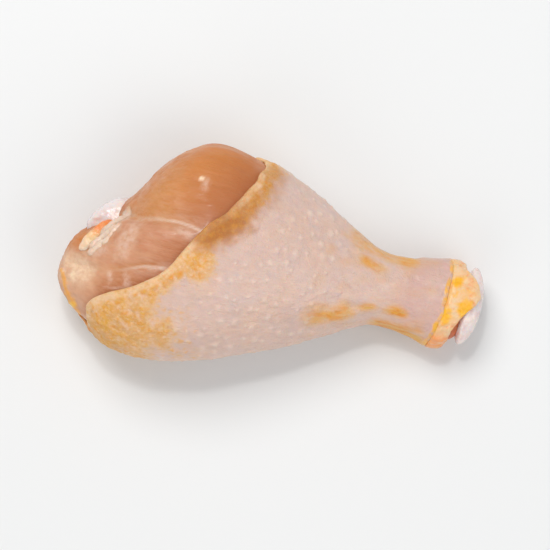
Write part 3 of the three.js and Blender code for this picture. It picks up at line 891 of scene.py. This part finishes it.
def makeFatMaterial(name, yellowCover):
    paint = Paint(name, fatLook, "cream", {**fleshGloss, "Coat Weight": 0.22})
    paint.dapple("paleCream", (0.0035, 0.5, 0.14, 1.0), 0.8)
    paint.dapple("yellow", (0.003, yellowCover, 0.1, 2.0), 0.8)
    paint.dapple("orange", (0.004, 0.3, 0.1, 3.0), 0.8)
    tendons = paint.patches(0.0011, 0.5, 0.2, 4.0, paint.stretched(6, 52))
    paint.lay("paleCream", tendons, 0.5)
    paint.dapple("yellow", (0.003, 0.95, 0.25, 5.0), 1.0, paint.value("yellow"))
    paint.dapple("orange", (0.003, 0.85, 0.3, 6.0), 0.9, paint.value("orange"))
    paint.lay("flesh", paint.value("flesh"), 0.85)
    paint.dapple("white", (0.002, 0.8, 0.3, 7.0), 0.85, paint.value("pale"))
    relief = ((paint.lobules(0.0013, 0.5), 0.00006), (tendons, 0.00014))
    return paint.finish(0.0008, 0.00007, relief, (0.28, 0.46))


def makeCuff():
    look = fatLook
    bm = bmesh.new()
    bmesh.ops.create_grid(bm, x_segments=look["cuffColumns"], y_segments=look["cuffRows"], size=1)
    flat = (places(bm) + 1) / 2
    angle, bend = 2 * math.pi * np.mod(flat[:, 0], 1), 2 * math.pi * np.mod(flat[:, 1], 1)
    run = (1 + np.sign(np.cos(bend)) * np.abs(np.cos(bend)) ** 0.8) / 2
    ring = np.stack([np.cos(angle), np.sin(angle), np.zeros(len(angle))], axis=1)
    uneven = (1.1 * wave(ring, 0.45, 33) + 0.5 * wave(ring, 0.16, 34)) * np.maximum(run - 0.4, 0)
    tongue = hump(turnedFrom(angle, look["tongueAt"]), 0, look["tongueWidth"])
    start = look["cuffFrom"] + hockSlant(angle)
    end = look["cuffTo"] + hockSlant(angle) / 2 + look["tongue"] * tongue
    x = start + (end - start) * run + uneven
    share = shareAt(x, look["cuffStations"])
    base = legPoint(share, angle, look["cuffStations"])
    face = (1 + np.sin(bend)) / 2 * (0.12 + 0.88 * ramp(0, 0.2, run))  # the start lies under the skin
    ring[:, 2] = 0.2 * run
    tendons = 0.45 * wave(ring, 0.32, 31) + 0.4 * wave(ring, 0.12, 35) + 0.15 * wave(base, 1.0, 32)
    thickness = leg["gap"] + look["cuffThickness"] - 0.2 - (0.5 + 0.7 * tongue) * run
    height = 0.2 + (thickness + tendons) * face
    points = base + legNormal(share, angle, look["cuffStations"]) * height[:, None]
    points[:, 2] = np.maximum(points[:, 2], 0)
    yellow = 0.7 * ramp(0.25, 0.0, run)
    for spotX, spotY, reach in look["yellowSpots"]:
        near = np.hypot(points[:, 0] - spotX, points[:, 1] - spotY) / reach
        yellow = np.maximum(yellow, ramp(1.1, 0.5, near + 0.4 * wave(points, 1.6, 36)) * (points[:, 2] > 9))
    values = {
        "flesh": np.zeros(len(points)),
        "pale": np.zeros(len(points)),
        "yellow": yellow,
        "orange": 0.6 * np.maximum(ramp(-7, -11, points[:, 1]), ramp(8, 3, points[:, 2])),
    }
    return finishPiece("hockCuff", bm, points, values, makeFatMaterial("cuffFat", 0.3))


def strandPoints(co, ends, halfWidth, halfThickness, seed):
    # a lumpy strand laid on the meat; ends hold x and the angle at either end
    run, turn = (co[:, 2] + 1) / 2, np.arctan2(co[:, 1], co[:, 0])
    (x0, a0), (x1, a1) = ends

    def lineAt(v):
        return shareAt(x0 + (x1 - x0) * v), np.radians(a0 + (a1 - a0) * v)

    base, normal = legPoint(*lineAt(run)), legNormal(*lineAt(run))
    side = np.cross(unit(legPoint(*lineAt(run + 0.02)) - base), normal)
    end = np.sqrt(np.maximum(0, 1 - (2 * run - 1) ** 4))
    along = np.stack([run, 0 * run, 0 * run], axis=1)
    broad = halfWidth * end * (1 + 0.5 * wave(along, 0.3, seed) + 0.4 * wave(along, 0.12, seed + 2))
    bend = 0.7 * wave(along, 0.5, seed + 1)
    points = base + side * (broad * np.cos(turn) + bend)[:, None]
    lumps = 0.35 * wave(points, 1.8, seed) * np.minimum(1, halfThickness)
    flat = halfThickness < fatLook["flatBelow"]
    profile = np.abs(np.sin(turn)) ** (2.2 if flat else 1)
    rise = end * (halfThickness * (0.8 + np.sin(turn) ** 3) + lumps) * profile
    lift = rise - fatLook["flatSunk"] if flat else rise + fatLook["raised"]
    return points + normal * (meatHeight[nearest(meatBase, points)[1]] + lift)[:, None]


def makeStrands():
    bm = bmesh.new()
    strands, columns, rows = (fatLook[key] for key in ("strands", "strandColumns", "strandRows"))
    apart = 4
    for i in range(len(strands)):
        place = Matrix.Translation((apart * i, 0, 0))
        bmesh.ops.create_uvsphere(bm, u_segments=columns, v_segments=rows, radius=1, matrix=place)
    co = places(bm)
    part = np.round(co[:, 0] / apart).astype(int)
    co[:, 0] -= apart * part
    points, run = np.zeros(co.shape), (co[:, 2] + 1) / 2
    for i, strand in enumerate(strands):
        points[part == i] = strandPoints(co[part == i], *strand, 41 + i)
    across = np.abs(co[:, 0]) / np.maximum(np.hypot(co[:, 0], co[:, 1]), 1e-6)
    middle = ramp(0.95, 0.5, across) * ramp(0.5, 0.3, np.abs(run - 0.5))
    values = {
        "flesh": np.where(part == 0, 0.0, 1.0),
        "pale": np.where(part == 0, 0.75 * ramp(0.6, 0.9, run), middle),
        "yellow": np.zeros(len(co)),
        "orange": np.where(part == 0, ramp(0.6, 0.3, run), 0.0),
    }
    return finishPiece("kneeFat", bm, points, values, makeFatMaterial("strandFat", 0.2))


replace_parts(makeCuff(), "hock_cuff")
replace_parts(makeStrands(), "knee_fat")

# Floor, light and camera
studio = {
    "floor": (0.8, 0.8, 0.79),
    "floorSize": 2.0,
    "floorRoughness": 0.7,
    "frameWidth": 0.166,  # what the camera sees across at the leg's middle height, in metres
    "roll": 14,
    "lens": 200,
    "sensor": 36,
    "lights": [  # place, size and power
        ("keyLight", (-0.35, 0.5, 0.9), 0.6, 5.6),
        ("fillLight", (0.7, -0.3, 0.7), 0.8, 2.6),
        ("frontLight", (-0.2, -0.8, 0.5), 0.8, 1.6),
        ("sparkLight", (-0.15, 0.35, 0.9), 0.08, 1.1),
    ],
    "sky": (0.95, 0.97, 1),
    "skyPower": 0.46,
}


def makeFloor():
    bm = bmesh.new()
    bmesh.ops.create_grid(bm, x_segments=1, y_segments=1, size=studio["floorSize"])
    mesh = bpy.data.meshes.new("floor")
    bm.to_mesh(mesh)
    bm.free()
    floor = bpy.data.objects.new("floor", mesh)
    bpy.context.scene.collection.objects.link(floor)
    material = bpy.data.materials.new("palePaper")
    material.use_nodes = True
    shader = material.node_tree.nodes["Principled BSDF"]
    shader.inputs["Base Color"].default_value = (*studio["floor"], 1)
    shader.inputs["Roughness"].default_value = studio["floorRoughness"]
    mesh.materials.append(material)


def addLight(name, place, size, power):
    light = bpy.data.lights.new(name, "AREA")
    light.shape = "DISK"
    light.size = size
    light.energy = power
    lamp = bpy.data.objects.new(name, light)
    lamp.location = place
    lamp.rotation_euler = (-Vector(place)).to_track_quat("-Z", "Y").to_euler()
    bpy.context.scene.collection.objects.link(lamp)


def makeCamera():
    camera = bpy.data.cameras.new("camera")
    camera.lens = studio["lens"]
    camera.sensor_width = studio["sensor"]
    camera.clip_end = 10
    holder = bpy.data.objects.new("camera", camera)
    reach = studio["frameWidth"] * camera.lens / camera.sensor_width
    holder.location = (0, 0, cadBox[1].z / 2 + reach)
    holder.rotation_euler = (0, 0, math.radians(studio["roll"]))
    bpy.context.scene.collection.objects.link(holder)
    bpy.context.scene.camera = holder


makeFloor()
for light in studio["lights"]:
    addLight(*light)
world = bpy.data.worlds.new("studio")
world.use_nodes = True
background = world.node_tree.nodes["Background"]
background.inputs["Color"].default_value = (*studio["sky"], 1)
background.inputs["Strength"].default_value = studio["skyPower"]
bpy.context.scene.world = world
makeCamera()
print("floor, lights and camera placed")
